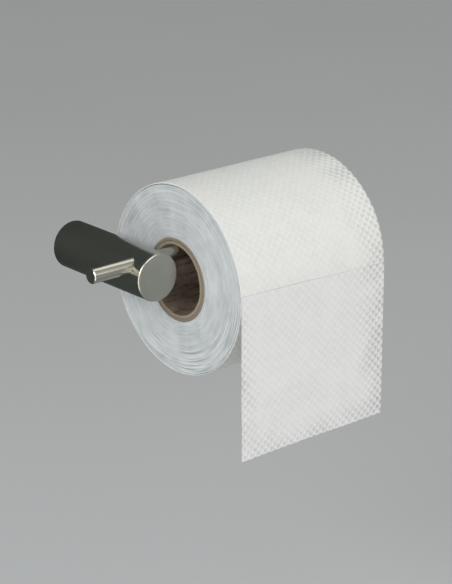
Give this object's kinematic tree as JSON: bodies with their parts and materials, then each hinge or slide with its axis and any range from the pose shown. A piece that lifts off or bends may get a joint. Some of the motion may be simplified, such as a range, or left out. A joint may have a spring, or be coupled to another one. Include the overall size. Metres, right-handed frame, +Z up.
{
  "type": "toilet paper holder",
  "caption": "Wall-mounted toilet paper holder: a round metal post crossed by a thin bar that carries a roll of embossed tissue with its last sheet hanging in front.",
  "frame": {"origin": "centre of the post on the wall's surface", "axes": "+X to the right along the wall, +Y into the wall, +Z up"},
  "size_m": [0.16, 0.1117, 0.1335],
  "materials": {
    "post_metal": "satin",
    "bar_metal": "satin",
    "screw_steel": "satin",
    "boss_brass": "satin",
    "gasket_rubber": "matte",
    "core_board_inner": "matte",
    "core_board_outer": "matte",
    "tissue_wound": "matte",
    "tissue_sheet": "matte"
  },
  "bodies": {
    "holder": {"post_body": "post_metal", "cross_bar": "bar_metal", "bar_lock_screw": "screw_steel", "wall_boss": "boss_brass", "post_set_screw": "screw_steel", "wall_gasket": "gasket_rubber"},
    "paper_web": {"outer_wrap": "tissue_sheet"},
    "roll": {"core_inner_ply": "core_board_inner", "core_outer_ply": "core_board_outer", "wound_paper": "tissue_wound"},
    "last_sheet": {"hanging_sheet": "tissue_sheet"}
  },
  "joints": [
    {"name": "roll_slide_off", "type": "slide", "parent": "holder", "child": "paper_web", "axis": [1, 0, 0], "range_m": [-0.006, 0.107]},
    {"name": "roll_spin", "type": "hinge", "parent": "paper_web", "child": "roll", "pos_m": [0.069, -0.061, -0.00865], "axis": [1, 0, 0], "range_deg": [0, 98]},
    {"name": "sheet_pull", "type": "slide", "parent": "paper_web", "child": "last_sheet", "axis": [0, 0, -1], "range_m": [0, 0.086]}
  ],
  "couplings": [
    {"joint": "sheet_pull", "follows": "roll_spin", "m_per_rad": 0.05}
  ]
}
